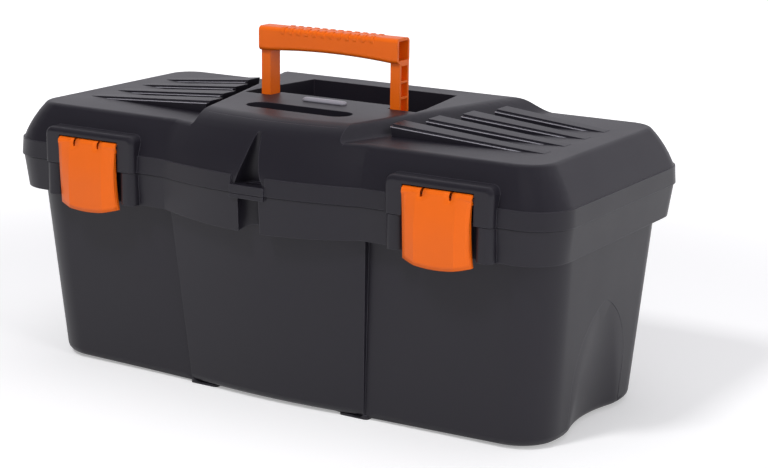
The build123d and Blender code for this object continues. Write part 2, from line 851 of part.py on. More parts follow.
def make_tray():
    """Tray that hangs on the ledge inside the rim band, with dividers and a grip."""
    seat = ledge + tray_seat_gap
    low = ledge - tray_depth
    flange_top = seat + tray_wall
    rim_top = flange_top + tray_rim_height
    end_inset, front_inset = band_insets(ledge)
    flange_end = end_inset + wall + tray_gap
    flange_front = front_inset + wall + tray_gap
    flange_corner = band_corner - wall - tray_gap
    tray = tray_box(0, low, flange_top)
    rim = (plan(flange_end, flange_front, flange_corner, z) for z in (seat, rim_top))
    tray += block(*rim)
    hollow = (
        plan(flange_end + tray_wall, flange_front + tray_wall, flange_corner - tray_wall, z)
        for z in (flange_top, rim_top + overrun)
    )
    tray -= block(*hollow)
    trough = tray_box(tray_wall, low + tray_wall, rim_top)
    tray -= trough
    half_tray = half_length - wall_top_end_inset - wall - tray_gap
    spine = Pos(0, (low + seat) / 2) * Rectangle(2 * half_tray, seat - low)
    inside = along_y(spine, -tray_spine / 2, tray_spine / 2)
    deep = half_depth - wall_top_front_inset
    for share in tray_divider_shares:
        divider = Pos(0, (low + seat) / 2) * Rectangle(2 * deep, seat - low)
        x = share * half_tray
        inside += along_x(divider, x - tray_wall / 2, x + tray_wall / 2)
    tray += inside & tray_box(tray_wall / 2, low + tray_wall / 2, flange_top)
    grip_top = seat + tray_grip_rise
    grip_foot = low + tray_wall / 2
    arch = Pos(0, (grip_foot + grip_top) / 2) * Rectangle(tray_grip_length, grip_top - grip_foot)
    arch = fillet(arch.vertices().group_by(Axis.Y)[-1], tray_grip_rise / 2)
    slot = SlotOverall(tray_slot_length, tray_slot_height)
    slot_z = grip_top - tray_grip_height - tray_slot_height / 2
    grip = along_y(arch, -tray_spine / 2, tray_spine / 2)
    bar = Pos(0, grip_top - tray_grip_height / 2) * SlotOverall(tray_slot_length, tray_grip_height)
    grip += along_y(bar, -tray_grip_width / 2, tray_grip_width / 2)
    tray += grip
    tray -= along_y(Pos(0, slot_z) * slot, -tray_grip_width, tray_grip_width)
    return tray


save(make_tub(), "base_tub")
save(make_lid(), "lid")
save(make_handle(), "carry_handle")
right_latch = make_latch()
save(right_latch, "latch_right")
save(mirror(right_latch, about=Plane.YZ), "latch_left")
save(make_hinge_pin(-hinge_x), "hinge_pin_left")
save(make_hinge_pin(hinge_x), "hinge_pin_right")
save(make_tray(), "lift_out_tray")
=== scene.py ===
"""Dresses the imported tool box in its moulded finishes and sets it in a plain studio."""

from __future__ import annotations

import json
import logging
import math
from dataclasses import dataclass, replace
from enum import Enum

import bmesh
import bpy
from mathutils import Matrix, Vector

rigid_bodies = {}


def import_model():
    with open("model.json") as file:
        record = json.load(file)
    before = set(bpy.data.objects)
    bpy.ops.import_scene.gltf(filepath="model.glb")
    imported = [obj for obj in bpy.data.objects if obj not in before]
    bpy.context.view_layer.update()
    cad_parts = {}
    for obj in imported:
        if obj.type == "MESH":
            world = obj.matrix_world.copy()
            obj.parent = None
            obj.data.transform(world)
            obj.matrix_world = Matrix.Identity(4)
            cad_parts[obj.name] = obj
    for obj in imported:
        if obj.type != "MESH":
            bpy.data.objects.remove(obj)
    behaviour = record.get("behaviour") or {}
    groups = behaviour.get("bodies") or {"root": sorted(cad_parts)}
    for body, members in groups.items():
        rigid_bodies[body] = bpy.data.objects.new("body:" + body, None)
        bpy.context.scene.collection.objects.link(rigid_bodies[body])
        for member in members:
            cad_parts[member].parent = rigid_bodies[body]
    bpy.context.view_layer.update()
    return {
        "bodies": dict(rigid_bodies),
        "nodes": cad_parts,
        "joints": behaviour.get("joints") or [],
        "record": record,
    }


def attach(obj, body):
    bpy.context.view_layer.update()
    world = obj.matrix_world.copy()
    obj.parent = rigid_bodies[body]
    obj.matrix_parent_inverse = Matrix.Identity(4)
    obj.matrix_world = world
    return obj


log = logging.getLogger("tool_box")

Colour = tuple[float, float, float]
Point = tuple[float, float, float]

MILLIMETRE = 0.001

# Display curve of sRGB
DISPLAY_WHITE = 255
CURVE_START = 0.04045
CURVE_FOOT_SLOPE = 12.92
CURVE_OFFSET = 0.055
CURVE_POWER = 2.4

# Places of the colour sockets on a Mix node
MIX_FIRST = 6
MIX_SECOND = 7
MIX_RESULT = 2

WHITE = (1.0, 1.0, 1.0, 1.0)
# Slot of the pale finish that paints highlights on added pieces.
HIGHLIGHT_INDEX = 1
OWN_MATERIAL = -1
ROUND_PROFILE = 0.5
TOWARDS_BACK = -1.0
BEVEL_WEIGHT = "bevel_weight_edge"
LATCH_X = 159.0 * MILLIMETRE


class Slot(Enum):
    """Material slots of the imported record."""

    BODY = "body_plastic"
    ORANGE = "orange_plastic"
    TRAY = "tray_plastic"
    PIN = "pin_steel"


class Node(Enum):
    """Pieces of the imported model."""

    TUB = "base_tub"
    LID = "lid"
    HANDLE = "carry_handle"
    LATCH_LEFT = "latch_left"
    LATCH_RIGHT = "latch_right"
    PIN_LEFT = "hinge_pin_left"
    PIN_RIGHT = "hinge_pin_right"
    TRAY = "lift_out_tray"


class Body(Enum):
    """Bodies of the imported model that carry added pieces."""

    BASE = "base"
    LID = "lid"
    LATCH_LEFT = "latch_left"
    LATCH_RIGHT = "latch_right"


def linear(channel: float) -> float:
    """Turn one display channel into linear light.

    Args:
        channel: Display value from 0 to 255.

    Returns:
        The linear value from 0 to 1.
    """
    value = channel / DISPLAY_WHITE
    if value <= CURVE_START:
        return value / CURVE_FOOT_SLOPE
    return ((value + CURVE_OFFSET) / (1 + CURVE_OFFSET)) ** CURVE_POWER


def paint(colour: Colour) -> tuple[float, float, float, float]:
    """Turn a display colour into a linear colour with alpha.

    Args:
        colour: Red, green and blue from 0 to 255.

    Returns:
        Linear red, green, blue and an alpha of 1.
    """
    red, green, blue = (linear(channel) for channel in colour)
    return red, green, blue, 1.0


class Graph:
    """A node tree with short calls to add and join nodes."""

    def __init__(self, tree: bpy.types.NodeTree) -> None:
        """Take over a node tree and empty it.

        Args:
            tree: Node tree of a material, a world or a geometry node group.
        """
        self.tree = tree
        tree.nodes.clear()

    def add(self, kind: str, **values: object) -> bpy.types.Node:
        """Add a node and set what is given on it.

        Args:
            kind: Blender's name of the node type.
            values: Properties of the node, such as its operation.

        Returns:
            The new node.
        """
        node = self.tree.nodes.new(kind)
        for name, value in values.items():
            setattr(node, name, value)
        return node

    def feed(self, node: bpy.types.Node, **inputs: object) -> bpy.types.Node:
        """Set or join inputs of a node.

        Args:
            node: The node whose inputs are set.
            inputs: Socket names with spaces as underscores, each with a value or an output socket.

        Returns:
            The same node.
        """
        for name, value in inputs.items():
            self.put(node.inputs[name.replace("_", " ")], value)
        return node

    def put(self, socket: bpy.types.NodeSocket, value: object) -> None:
        """Join an output socket to an input, or set the input's own value.

        Args:
            socket: The input.
            value: An output socket or a plain value.
        """
        if isinstance(value, bpy.types.NodeSocket):
            self.tree.links.new(value, socket)
        else:
            socket.default_value = value

    def math(
        self, operation: str, first: object, second: object, clamp: bool = False
    ) -> bpy.types.NodeSocket:
        """Add a Math node.

        Args:
            operation: Blender's name of the operation.
            first: First value or socket.
            second: Second value or socket.
            clamp: Whether the result is kept from 0 to 1.

        Returns:
            The result's socket.
        """
        node = self.add("ShaderNodeMath", operation=operation, use_clamp=clamp)
        self.put(node.inputs[0], first)
        self.put(node.inputs[1], second)
        return node.outputs[0]

    def blend(self, share: object, first: object, second: object) -> bpy.types.NodeSocket:
        """Mix two colours.

        Args:
            share: Share of the second colour, a value or a socket.
            first: First colour or socket.
            second: Second colour or socket.

        Returns:
            The mixed colour's socket.
        """
        node = self.add("ShaderNodeMix", data_type="RGBA")
        self.put(node.inputs["Factor"], share)
        self.put(node.inputs[MIX_FIRST], first)
        self.put(node.inputs[MIX_SECOND], second)
        return node.outputs[MIX_RESULT]

    def seen(self) -> bpy.types.NodeSocket:
        """Tell the rays that see a surface, by camera, gloss or glass, from those that carry its light.

        Returns:
            The socket that is 1 for a ray that sees.
        """
        path = self.add("ShaderNodeLightPath").outputs
        mirrored = self.math("MAXIMUM", path["Is Glossy Ray"], path["Is Transmission Ray"])
        return self.math("MAXIMUM", path["Is Camera Ray"], mirrored)

    def spread(self, value: object, low: float, high: float) -> bpy.types.NodeSocket:
        """Map a value from 0 to 1 onto another range.

        Args:
            value: The value's socket.
            low: Result at 0.
            high: Result at 1.

        Returns:
            The mapped value's socket.
        """
        node = self.add("ShaderNodeMapRange")
        self.feed(node, Value=value, To_Min=low, To_Max=high)
        return node.outputs["Result"]


@dataclass(frozen=True)
class MouldedPlastic:
    """Moulded plastic with a fine grain, a faint mottle and a painted highlight along its edges.

    Lengths are in metres, and colours are display values from 0 to 255.
    """

    slot: Slot
    colour: Colour
    edge_highlight: Colour
    roughness: float
    gloss: float
    grain_size: float
    grain_depth: float
    mottle_size: float
    mottle: float
    edge_radius: float
    suffix: str = ""
    grain_detail: float = 2.0
    grain_spread: float = 0.05
    mottle_detail: float = 4.0
    mottle_spread: float = 0.06
    edge_samples: int = 4
    highlight_gain: float = 2.0

    def material(self) -> bpy.types.Material:
        """Build the finish as a node material on object coordinates.

        Returns:
            The new material, named after its slot with the suffix.
        """
        material = bpy.data.materials.new(self.slot.value + self.suffix)
        material.use_nodes = True
        graph = Graph(material.node_tree)
        place = graph.add("ShaderNodeTexCoord").outputs["Object"]
        fine = graph.add("ShaderNodeTexNoise")
        graph.feed(fine, Vector=place, Scale=1 / self.grain_size, Detail=self.grain_detail)
        grain = fine.outputs["Fac"]
        coarse = graph.add("ShaderNodeTexNoise")
        graph.feed(coarse, Vector=place, Scale=1 / self.mottle_size, Detail=self.mottle_detail)
        mottle = coarse.outputs["Fac"]
        rounding = graph.add("ShaderNodeBevel", samples=self.edge_samples)
        edge = graph.feed(rounding, Radius=self.edge_radius).outputs["Normal"]
        shader = graph.add("ShaderNodeBsdfPrincipled")
        # Painted highlight: the colour is mixed towards a lighter one where the rounded-edge normal turns
        # from the face.
        tone = graph.blend(self.highlight_share(graph, edge), self.tones(graph, mottle), paint(self.edge_highlight))
        relief = graph.add("ShaderNodeBump")
        graph.feed(relief, Strength=1.0, Distance=self.grain_depth, Height=grain, Normal=edge)
        rough = graph.math(
            "ADD",
            graph.spread(grain, -self.grain_spread, self.grain_spread),
            graph.spread(mottle, -self.mottle_spread, self.mottle_spread),
        )
        graph.feed(
            shader,
            Base_Color=tone,
            Roughness=graph.math("ADD", rough, self.roughness),
            Specular_IOR_Level=self.gloss,
            Normal=relief.outputs["Normal"],
        )
        output = graph.add("ShaderNodeOutputMaterial")
        graph.feed(output, Surface=shader.outputs["BSDF"])
        return material

    def tones(self, graph: Graph, mottle: bpy.types.NodeSocket) -> bpy.types.NodeSocket:
        """Colour of the plastic, a little lighter and darker from place to place.

        Args:
            graph: The material's node tree.
            mottle: Coarse noise.

        Returns:
            The colour's socket.
        """
        darker = tuple(channel * (1 - self.mottle) for channel in self.colour)
        lighter = tuple(channel * (1 + self.mottle) for channel in self.colour)
        return graph.blend(mottle, paint(darker), paint(lighter))

    def highlight_share(self, graph: Graph, edge: bpy.types.NodeSocket) -> bpy.types.NodeSocket:
        """Share of the painted edge highlight, which is highest on sharp edges.

        Args:
            graph: The material's node tree.
            edge: Normal of the rounded edge.

        Returns:
            The share's socket.
        """
        face = graph.add("ShaderNodeNewGeometry").outputs["Normal"]
        dot = graph.add("ShaderNodeVectorMath", operation="DOT_PRODUCT")
        graph.put(dot.inputs[0], face)
        graph.put(dot.inputs[1], edge)
        turn = graph.math("SUBTRACT", 1.0, dot.outputs["Value"])
        return graph.math("MULTIPLY", turn, self.highlight_gain, clamp=True)


@dataclass(frozen=True)
class DrawnWire:
    """Bright drawn steel wire with fine lengthwise lines along X.

    Lengths are in metres, and colours are display values from 0 to 255.
    """

    slot: Slot
    colour: Colour
    roughness: float
    line_size: float
    line_stretch: float
    line_shade: float = 0.85
    smoothest: float = 0.8
    roughest: float = 1.3

    def material(self) -> bpy.types.Material:
        """Build the finish as a node material on object coordinates.

        Returns:
            The new material, named after its slot.
        """
        material = bpy.data.materials.new(self.slot.value)
        material.use_nodes = True
        graph = Graph(material.node_tree)
        place = graph.add("ShaderNodeTexCoord").outputs["Object"]
        stretch = graph.add("ShaderNodeMapping")
        graph.feed(stretch, Vector=place, Scale=(1 / self.line_stretch, 1.0, 1.0))
        noise = graph.add("ShaderNodeTexNoise")
        graph.feed(noise, Vector=stretch.outputs["Vector"], Scale=1 / self.line_size)
        lines = noise.outputs["Fac"]
        low, high = self.roughness * self.smoothest, self.roughness * self.roughest
        shader = graph.add("ShaderNodeBsdfPrincipled")
        darker = tuple(channel * self.line_shade for channel in self.colour)
        graph.feed(
            shader,
            Base_Color=graph.blend(lines, paint(darker), paint(self.colour)),
            Metallic=1.0,
            Roughness=graph.spread(lines, low, high),
        )
        output = graph.add("ShaderNodeOutputMaterial")
        graph.feed(output, Surface=shader.outputs["BSDF"])
        return material


# The second colour of each plastic is a painted highlight along its edges.
FINISHES: tuple[MouldedPlastic | DrawnWire, ...] = (
    MouldedPlastic(
        slot=Slot.BODY,
        colour=(33, 31, 38),
        edge_highlight=(92, 90, 98),
        roughness=0.44,
        gloss=0.32,
        grain_size=0.45 * MILLIMETRE,
        grain_depth=0.02 * MILLIMETRE,
        mottle_size=60 * MILLIMETRE,
        mottle=0.06,
        edge_radius=0.8 * MILLIMETRE,
    ),
    MouldedPlastic(
        slot=Slot.ORANGE,
        colour=(240, 106, 12),
        edge_highlight=(246, 132, 52),
        roughness=0.42,
        gloss=0.3,
        grain_size=0.4 * MILLIMETRE,
        grain_depth=0.012 * MILLIMETRE,
        mottle_size=30 * MILLIMETRE,
        mottle=0.025,
        edge_radius=0.6 * MILLIMETRE,
    ),
    MouldedPlastic(
        slot=Slot.TRAY,
        colour=(34, 33, 37),
        edge_highlight=(52, 51, 56),
        roughness=0.46,
        gloss=0.4,
        grain_size=0.45 * MILLIMETRE,
        grain_depth=0.02 * MILLIMETRE,
        mottle_size=50 * MILLIMETRE,
        mottle=0.06,
        edge_radius=0.6 * MILLIMETRE,
    ),
    DrawnWire(
        slot=Slot.PIN,
        colour=(190, 190, 195),
        roughness=0.25,
        line_size=0.2 * MILLIMETRE,
        line_stretch=40.0,
    ),
)

# Pale body finish: a painted highlight, put on the fins' ledges and on the deck bar.
HIGHLIGHT_BODY = replace(
    FINISHES[0],
    colour=(150, 148, 156),
    edge_highlight=(160, 158, 166),
    roughness=0.34,
    suffix="_painted_highlight",
)


@dataclass
class SoftShading:
    """Joins a piece's loose triangles and shades it smooth between its sharp edges.

    It also marks the lower edges of the tub's walls, which are then rounded. Lengths are in metres.
    """

    sharp_angle: float = math.radians(28)
    join_distance: float = 0.005 * MILLIMETRE
    foot_level: float = 2.0 * MILLIMETRE
    level_slack: float = 0.01 * MILLIMETRE
    corner_angle: float = math.radians(60)
    foot_radius: float = 6.0 * MILLIMETRE
    foot_steps: int = 4

    def group(self) -> bpy.types.NodeTree:
        """Build the geometry node group.

        Returns:
            The node group for a Geometry Nodes modifier.
        """
        tree = bpy.data.node_groups.new("soft_shading", "GeometryNodeTree")
        tree.interface.new_socket("Geometry", in_out="INPUT", socket_type="NodeSocketGeometry")
        tree.interface.new_socket("Geometry", in_out="OUTPUT", socket_type="NodeSocketGeometry")
        graph = Graph(tree)
        source = graph.add("NodeGroupInput").outputs["Geometry"]
        plain = graph.add("GeometryNodeRemoveAttribute")
        graph.feed(plain, Geometry=source, Name="custom_normal")
        joined = graph.add("GeometryNodeMergeByDistance")
        graph.feed(joined, Geometry=plain.outputs["Geometry"], Distance=self.join_distance)
        smooth = graph.add("GeometryNodeSetShadeSmooth", domain="FACE")
        graph.feed(smooth, Geometry=joined.outputs["Geometry"], Shade_Smooth=True)
        angle = graph.add("GeometryNodeInputMeshEdgeAngle").outputs["Unsigned Angle"]
        sharp = graph.math("GREATER_THAN", angle, self.sharp_angle)
        crease = graph.add("GeometryNodeSetShadeSmooth", domain="EDGE")
        graph.feed(crease, Geometry=smooth.outputs["Geometry"], Selection=sharp, Shade_Smooth=False)
        weigh = graph.add("GeometryNodeStoreNamedAttribute", domain="EDGE")
        graph.feed(weigh, Geometry=crease.outputs["Geometry"], Selection=self.lower_edges(graph))
        graph.feed(weigh, Name=BEVEL_WEIGHT, Value=1.0)
        graph.feed(graph.add("NodeGroupOutput"), Geometry=weigh.outputs["Geometry"])
        return tree

    def lower_edges(self, graph: Graph) -> bpy.types.NodeSocket:
        """Find the lower edges of the tub's walls.

        Args:
            graph: The group's node tree.

        Returns:
            The socket that is 1 on those edges.
        """
        axes = graph.add("ShaderNodeSeparateXYZ")
        graph.feed(axes, Vector=graph.add("GeometryNodeInputPosition").outputs["Position"])
        level = graph.math("SUBTRACT", axes.outputs["Z"], self.foot_level)
        near = graph.math("LESS_THAN", graph.math("ABSOLUTE", level, 0.0), self.level_slack)
        angle = graph.add("GeometryNodeInputMeshEdgeAngle").outputs["Signed Angle"]
        return graph.math("MULTIPLY", near, graph.math("GREATER_THAN", angle, self.corner_angle))


@dataclass
class Dresser:
    """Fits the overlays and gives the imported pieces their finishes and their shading."""

    frame: dict
    shading: SoftShading

    def dress(self) -> None:
        """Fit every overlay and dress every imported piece."""
        materials = {finish.slot: finish.material() for finish in FINISHES}
        # Pale finish of painted highlights for the overlays.
        highlight_finish = HIGHLIGHT_BODY.material()
        group = self.shading.group()
        for overlay in OVERLAYS:
            overlay.build(materials[overlay.slot], highlight_finish)
        for row in self.frame["record"]["subparts"]:
            piece = self.frame["nodes"][Node(row["node"]).value]
            self.finish(piece, materials[Slot(row["material_slot"])])
            self.soften(piece, group)
            log.info("%s dressed in %s", piece.name, row["material_slot"])

    def finish(self, piece: bpy.types.Object, material: bpy.types.Material) -> None:
        """Put one material in all slots of a piece.

        Args:
            piece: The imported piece.
            material: Its finish.
        """
        if not piece.material_slots:
            piece.data.materials.append(material)
        for slot in piece.material_slots:
            slot.material = material

    def soften(self, piece: bpy.types.Object, group: bpy.types.NodeTree) -> None:
        """Add the smooth shading to a piece, and a rounded lower edge to the tub.

        Args:
            piece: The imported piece.
            group: The node group of the smooth shading.
        """
        piece.modifiers.new("soft_shading", "NODES").node_group = group
        if piece.name == Node.TUB.value:
            edge = piece.modifiers.new("round_foot", "BEVEL")
            edge.limit_method = "WEIGHT"
            edge.width = self.shading.foot_radius
            edge.segments = self.shading.foot_steps
            edge.profile = ROUND_PROFILE
            edge.affect = "EDGES"
            edge.material = OWN_MATERIAL
            edge.use_clamp_overlap = False
        weight = piece.modifiers.new("flat_faces", "WEIGHTED_NORMAL")
        weight.keep_sharp = True


@dataclass(frozen=True)
class EndWall:
    """End wall of the tub, with the arched recess at its foot.

    Lengths are in metres. The wall leans out as it rises.
    """

    foot_z: float = 2.0 * MILLIMETRE
    foot_x: float = 229.5 * MILLIMETRE
    top_z: float = 146.5 * MILLIMETRE
    top_x: float = 240.1 * MILLIMETRE
    arch_half: float = 44.0 * MILLIMETRE
    arch_spring: float = 40.74 * MILLIMETRE
    arch_height: float = 97.0 * MILLIMETRE

    def x(self, z: float) -> float:
        """Place of the wall's face at a height.

        Args:
            z: Height above the floor.

        Returns:
            Distance from the middle of the box.
        """
        share = (z - self.foot_z) / (self.top_z - self.foot_z)
        return self.foot_x + (self.top_x - self.foot_x) * share

    def half(self, rise: float) -> float:
        """Half of the arch's width at a height.

        Args:
            rise: Height above the arch's foot.

        Returns:
            Half of the width.
        """
        if rise <= self.arch_spring:
            return self.arch_half
        share = (rise - self.arch_spring) / (self.arch_height - self.arch_spring)
        return self.arch_half * math.sqrt(max(0.0, 1 - share**2))


@dataclass(frozen=True)
class Overlay:
    """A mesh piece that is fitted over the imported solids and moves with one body.

    Lengths are in metres.
    """

    name: str
    body: Body
    slot: Slot
    smooth: bool = True
    # Whether the piece also carries the pale finish of painted highlights.
    highlighted: bool = False

    def shape(self, form: bmesh.types.BMesh) -> None:
        """Draw the piece.

        Args:
            form: The empty mesh to draw in.
        """
        raise NotImplementedError

    def trim(self, piece: bpy.types.Object) -> None:
        """Add the modifiers that finish the piece.

        Args:
            piece: The new piece.
        """

    def build(self, plain: bpy.types.Material, highlight_finish: bpy.types.Material) -> None:
        """Make the piece and let it ride on its body.

        Args:
            plain: The finish of its slot.
            highlight_finish: The body's pale finish, which paints highlights on chosen edges and faces.
        """
        form = bmesh.new()
        self.shape(form)
        self.turn_out(form)
        for face in form.faces:
            face.smooth = self.smooth
        data = bpy.data.meshes.new(self.name)
        form.to_mesh(data)
        form.free()
        data.materials.append(plain)
        # Second slot: the pale finish that paints highlights.
        if self.highlighted:
            data.materials.append(highlight_finish)
        piece = bpy.data.objects.new(self.name, data)
        bpy.context.scene.collection.objects.link(piece)
        self.trim(piece)
        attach(piece, self.body.value)
        log.info("%s fitted over %s", self.name, self.body.value)

    def turn_out(self, form: bmesh.types.BMesh) -> None:
        """Turn the faces of a closed form outwards.

        Args:
            form: The drawn mesh.
        """
        bmesh.ops.recalc_face_normals(form, faces=form.faces)

    def bevel(self, piece: bpy.types.Object, width: float, segments: int) -> None:
        """Round the piece's weighted edges and give them a painted highlight in the pale finish.

        Args:
            piece: The new piece.
            width: Width of the rounded edge.
            segments: Steps across the rounded edge.
        """
        edge = piece.modifiers.new("round_edges", "BEVEL")
        edge.width = width
        edge.segments = segments
        edge.limit_method = "WEIGHT"
        edge.profile = ROUND_PROFILE
        edge.affect = "EDGES"
        edge.material = HIGHLIGHT_INDEX
        edge.harden_normals = True

    def thicken(self, piece: bpy.types.Object, thickness: float) -> None:
        """Give an open piece its thickness, behind its faces.

        Args:
            piece: The new piece.
            thickness: The thickness.
        """
        wall = piece.modifiers.new("thickness", "SOLIDIFY")
        wall.thickness = thickness
        wall.offset = TOWARDS_BACK


@dataclass(frozen=True)
class EndScoop(Overlay):
    """Softly hollowed panel in the arched recess of one end wall: part of a leaning cylinder."""

    side: int = 1
    wall: EndWall = EndWall()
    half_width: float = 42.0 * MILLIMETRE
    height: float = 96.0 * MILLIMETRE
    depth: float = 7.0 * MILLIMETRE
    soft: float = 1.1 * MILLIMETRE
    margin: float = 1.0 * MILLIMETRE
    proud: float = 0.05 * MILLIMETRE
    thickness: float = 1.4 * MILLIMETRE
    foot_radius: float = 6.0 * MILLIMETRE
    foot_crowding: float = 1.7
    across: int = 48
    up: int = 56

    def drawn_in(self, rise: float) -> float:
        """How far the rounded lower edge is drawn in.

        Args:
            rise: Height above the wall's foot.

        Returns:
            The distance, 0 above the rounded edge.
        """
        below = max(0.0, self.foot_radius - rise)
        return self.foot_radius - math.sqrt(self.foot_radius**2 - below**2)

    def hollow(self, y: float, rise: float) -> float:
        """Depth of the hollow under the wall's face, with a soft rim.

        Args:
            y: Distance from the middle of the wall.
            rise: Height above the wall's foot.

        Returns:
            The depth, close to 0 outside the hollow.
        """
        radius = (self.half_width**2 + self.depth**2) / (2 * self.depth)
        middle = self.depth * (1 - rise / self.height)
        depth = middle - radius + math.sqrt(radius**2 - y**2)
        return (depth + math.sqrt(depth**2 + self.soft**2)) / 2

    def shape(self, form: bmesh.types.BMesh) -> None:
        """Lay a grid over the recess and press the hollow into it."""
        bmesh.ops.create_grid(form, x_segments=self.across, y_segments=self.up, size=1.0)
        for point in form.verts:
            share = ((point.co.y + 1) / 2) ** self.foot_crowding
            rise = share * (self.wall.arch_height + self.margin)
            half = self.wall.half(share * self.wall.arch_height) + self.margin
            y = point.co.x * half
            z = self.wall.foot_z + rise
            x = self.wall.x(z) + self.proud - self.hollow(y, rise) - self.drawn_in(rise)
            point.co = (self.side * x, self.side * y, z)

    def turn_out(self, form: bmesh.types.BMesh) -> None:
        """Turn the faces of the open panel away from the middle of the box."""
        form.normal_update()
        inward = [face for face in form.faces if face.normal.x * self.side < 0]
        bmesh.ops.reverse_faces(form, faces=inward)

    def trim(self, piece: bpy.types.Object) -> None:
        """Give the panel its thickness, towards the inside."""
        self.thicken(piece, self.thickness)


@dataclass(frozen=True)
class LouvreFins(Overlay):
    """Wedge-shaped louvre fins that grow out of both flanks of the deck, each with a lower ledge."""

    count: int = 4
    pitch: float = 33.3 * MILLIMETRE
    plateau: float = 215.7 * MILLIMETRE
    root_rise: float = 9.2 * MILLIMETRE
    tip_rise: float = 0.15 * MILLIMETRE
    sink: float = 1.0 * MILLIMETRE
    tip_x: float = 209.0 * MILLIMETRE
    root_front: float = 10.5 * MILLIMETRE
    tip_front: float = 5.4 * MILLIMETRE
    root_ledge: float = 14.5 * MILLIMETRE
    tip_ledge: float = 7.4 * MILLIMETRE
    ledge_drop: float = 1.4 * MILLIMETRE
    root_back: float = 7.0 * MILLIMETRE
    tip_back: float = 5.2 * MILLIMETRE
    brow_front: float = 63.0 * MILLIMETRE
    brow_back: float = 105.5 * MILLIMETRE
    deck_front: float = -90.0 * MILLIMETRE
    deck_back: float = 82.0 * MILLIMETRE
    flank_front: float = 12.0 * MILLIMETRE
    flank_back: float = 31.0 * MILLIMETRE
    root_share: float = 0.86
    root_lean: float = 2.5 * MILLIMETRE
    edge: float = 0.5 * MILLIMETRE
    edge_steps: int = 3
    # Corners of the outline whose edges are rounded and get a painted highlight.
    highlighted_corners: tuple[int, ...] = (4,)

    def root(self, y: float) -> float:
        """Where a fin leaves the deck's flank.

        Args:
            y: Place from front to back.

        Returns:
            Distance of the fin's root from the middle of the box.
        """
        share = (y - self.deck_front) / (self.deck_back - self.deck_front)
        brow = self.brow_front + (self.brow_back - self.brow_front) * share
        flank = self.flank_front + (self.flank_back - self.flank_front) * share
        return brow + flank * self.root_share

    def section(
        self, x: float, lean: float, y: float, rise: float, front: float, ledge: float, back: float
    ) -> list[Point]:
        """Outline of a fin across its length.

        Args:
            x: Distance from the middle of the box.
            lean: How far the top is nearer to the middle than the foot.
            y: Middle of the fin.
            rise: Height of the top over the plateau.
            front: Reach of the top to the front.
            ledge: Reach of the ledge to the front.
            back: Reach to the back.

        Returns:
            The outline's points.
        """
        low = self.plateau - self.sink - self.ledge_drop
        top = self.plateau + rise
        drop = top - self.ledge_drop
        line = ((back, low), (back, top), (-front, top), (-front, drop), (-ledge, drop), (-ledge, low))
        return [(x - lean * (z - low) / (top - low), y + reach, z) for reach, z in line]

    def shape(self, form: bmesh.types.BMesh) -> None:
        """Draw every fin from its root in the flank to its tip on the plateau."""
        for index in range(self.count):
            y = (index - (self.count - 1) / 2) * self.pitch
            root = self.section(
                x=self.root(y),
                lean=self.root_lean,
                y=y,
                rise=self.root_rise,
                front=self.root_front,
                ledge=self.root_ledge,
                back=self.root_back,
            )
            tip = self.section(
                x=self.tip_x,
                lean=0.0,
                y=y,
                rise=self.tip_rise,
                front=self.tip_front,
                ledge=self.tip_ledge,
                back=self.tip_back,
            )
            for side in (-1, 1):
                ends = [[(side * px, py, pz) for px, py, pz in end] for end in (root, tip)]
                self.loft(form, *ends)

    def loft(self, form: bmesh.types.BMesh, root: list[Point], tip: list[Point]) -> None:
        """Join two outlines by side faces and close both ends.

        Args:
            form: The mesh that is drawn.
            root: Outline in the deck's flank.
            tip: Outline on the plateau.
        """
        first = [form.verts.new(point) for point in root]
        last = [form.verts.new(point) for point in tip]
        for index in range(len(first)):
            after = (index + 1) % len(first)
            form.faces.new((first[index], first[after], last[after], last[index]))
        form.faces.new(first)
        form.faces.new(last)
        layers = form.edges.layers.float
        # Weigh the ledge edges for rounding and a painted highlight.
        weights = layers.get(BEVEL_WEIGHT) or layers.new(BEVEL_WEIGHT)
        for corner in self.highlighted_corners:
            form.edges.get((first[corner], last[corner]))[weights] = 1.0

    def trim(self, piece: bpy.types.Object) -> None:
        """Round the fins' ledges and paint a highlight on them."""
        self.bevel(piece, self.edge, self.edge_steps)


@dataclass(frozen=True)
class DeckBar(Overlay):
    """Small rounded bar on the deck, in front of the handle, painted pale for its highlight."""

    length: float = 40.0 * MILLIMETRE
    width: float = 7.6 * MILLIMETRE
    height: float = 3.0 * MILLIMETRE
    fullness: float = 0.5
    crown_share: float = 0.95
    middle_y: float = -24.0 * MILLIMETRE
    foot_z: float = 226.8 * MILLIMETRE
    turns: int = 8
    levels: int = 8

    def shape(self, form: bmesh.types.BMesh) -> None:
        """Stack outlines with round ends, each drawn in more than the one below."""
        rings = [self.ring(form, level / self.levels) for level in range(self.levels + 1)]
        for low, high in zip(rings, rings[1:]):
            for index in range(len(low)):
                after = (index + 1) % len(low)
                form.faces.new((low[index], low[after], high[after], high[index]))
        form.faces.new(rings[0])
        form.faces.new(rings[-1])
        # The whole bar takes the pale finish: a painted highlight.
        for face in form.faces:
            face.material_index = HIGHLIGHT_INDEX

    def ring(self, form: bmesh.types.BMesh, share: float) -> list[bmesh.types.BMVert]:
        """Outline of the bar at a share of its height.

        Args:
            form: The mesh that is drawn.
            share: Share of the height, from 0 to 1.

        Returns:
            The outline's new points.
        """
        turn = share * math.pi / 2 * self.crown_share
        radius = self.width / 2 * math.cos(turn)
        z = self.foot_z + self.height * math.sin(turn) ** self.fullness
        straight = (self.length - self.width) / 2
        points = []
        for side in (1, -1):
            for step in range(self.turns + 1):
                angle = math.pi * (step / self.turns - 0.5)
                x = side * (straight + radius * math.cos(angle))
                points.append(form.verts.new((x, self.middle_y + side * radius * math.sin(angle), z)))
        return points


